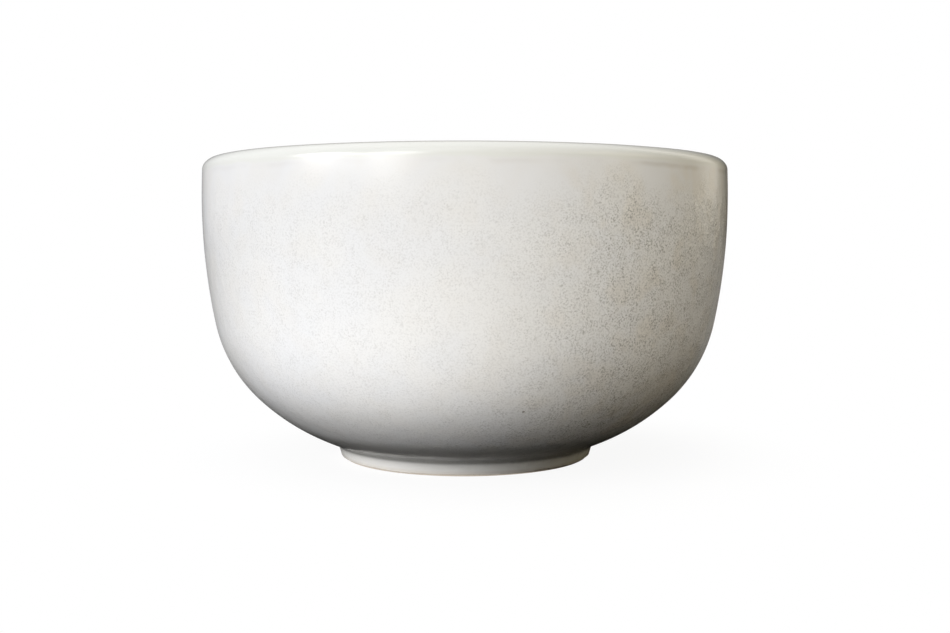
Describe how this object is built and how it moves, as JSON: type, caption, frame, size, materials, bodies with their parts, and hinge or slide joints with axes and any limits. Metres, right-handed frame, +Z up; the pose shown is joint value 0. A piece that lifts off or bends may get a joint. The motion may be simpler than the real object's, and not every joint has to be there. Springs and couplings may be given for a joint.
{
  "type": "latte bowl",
  "caption": "Deep, straight-sided stoneware bowl for milky coffee: rounded lip, full belly and a low foot ring with a glazed well.",
  "frame": {"origin": "centre of the foot ring's bearing face, on the surface that the bowl stands on", "axes": "+Z up along the axis that the bowl is turned about; X and Y are alike, because the bowl is round"},
  "size_m": [0.15, 0.15, 0.0855],
  "materials": {
    "clay": "bare fired stoneware, fine tooth",
    "glaze": "off-white speckled glaze, glossy",
    "liner": "off-white glaze, glossy, nearly free of specks on the lip"
  },
  "bodies": {
    "root": {"bowl_body": "clay", "foot_ring": "clay", "outer_glaze": "glaze", "liner_glaze": "liner", "well_glaze": "glaze"}
  },
  "joints": []
}
